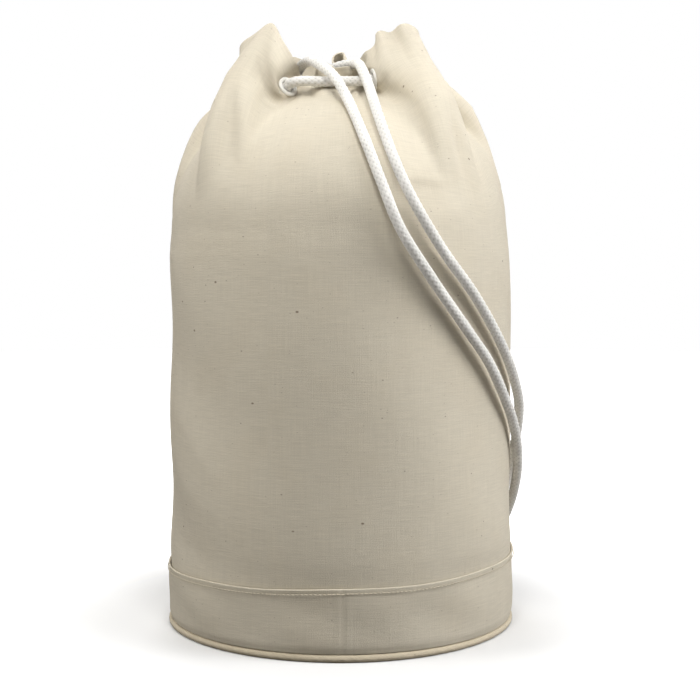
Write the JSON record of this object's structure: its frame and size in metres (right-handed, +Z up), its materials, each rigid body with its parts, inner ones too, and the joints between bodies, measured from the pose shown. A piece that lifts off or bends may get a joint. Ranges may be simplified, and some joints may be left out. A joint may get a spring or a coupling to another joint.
{
  "type": "laundry bag",
  "caption": "Upright canvas drawstring laundry bag, its mouth gathered on a braided rope through white eyelets, with a folded band and piping round the foot.",
  "frame": {"origin": "centre of the base, on the surface that the bag stands on", "axes": "+Z up along the bag, -Y towards the front where the cord crosses, +X to the right"},
  "size_m": [0.2604, 0.255, 0.433],
  "materials": {
    "canvas": "unbleached plain-weave cotton canvas with dark seed flecks",
    "rope": "white braided cotton rope",
    "eyelet": "smooth white eyelet"
  },
  "bodies": {
    "root": {"bag_body": "canvas", "lower_band": "canvas", "base_panel": "canvas", "piping_cover": "canvas", "strap_loop": "canvas", "piping_core": "rope", "eyelet_1": "eyelet", "eyelet_2": "eyelet", "eyelet_3": "eyelet", "eyelet_4": "eyelet", "eyelet_5": "eyelet", "eyelet_6": "eyelet", "eyelet_7": "eyelet", "eyelet_8": "eyelet", "eyelet_washer_1": "eyelet", "eyelet_washer_2": "eyelet", "eyelet_washer_3": "eyelet", "eyelet_washer_4": "eyelet", "eyelet_washer_5": "eyelet", "eyelet_washer_6": "eyelet", "eyelet_washer_7": "eyelet", "eyelet_washer_8": "eyelet", "drawcord": "rope", "cord_tail_a": "rope", "cord_tail_b": "rope", "cord_knot_a": "rope", "cord_knot_b": "rope"},
    "strap": {"shoulder_cord_a": "rope", "shoulder_cord_b": "rope"}
  },
  "joints": [
    {"name": "strap_lift", "type": "slide", "parent": "root", "child": "strap", "axis": [0.8671, -0.4981, 0], "range_m": [0, 0.06]}
  ]
}
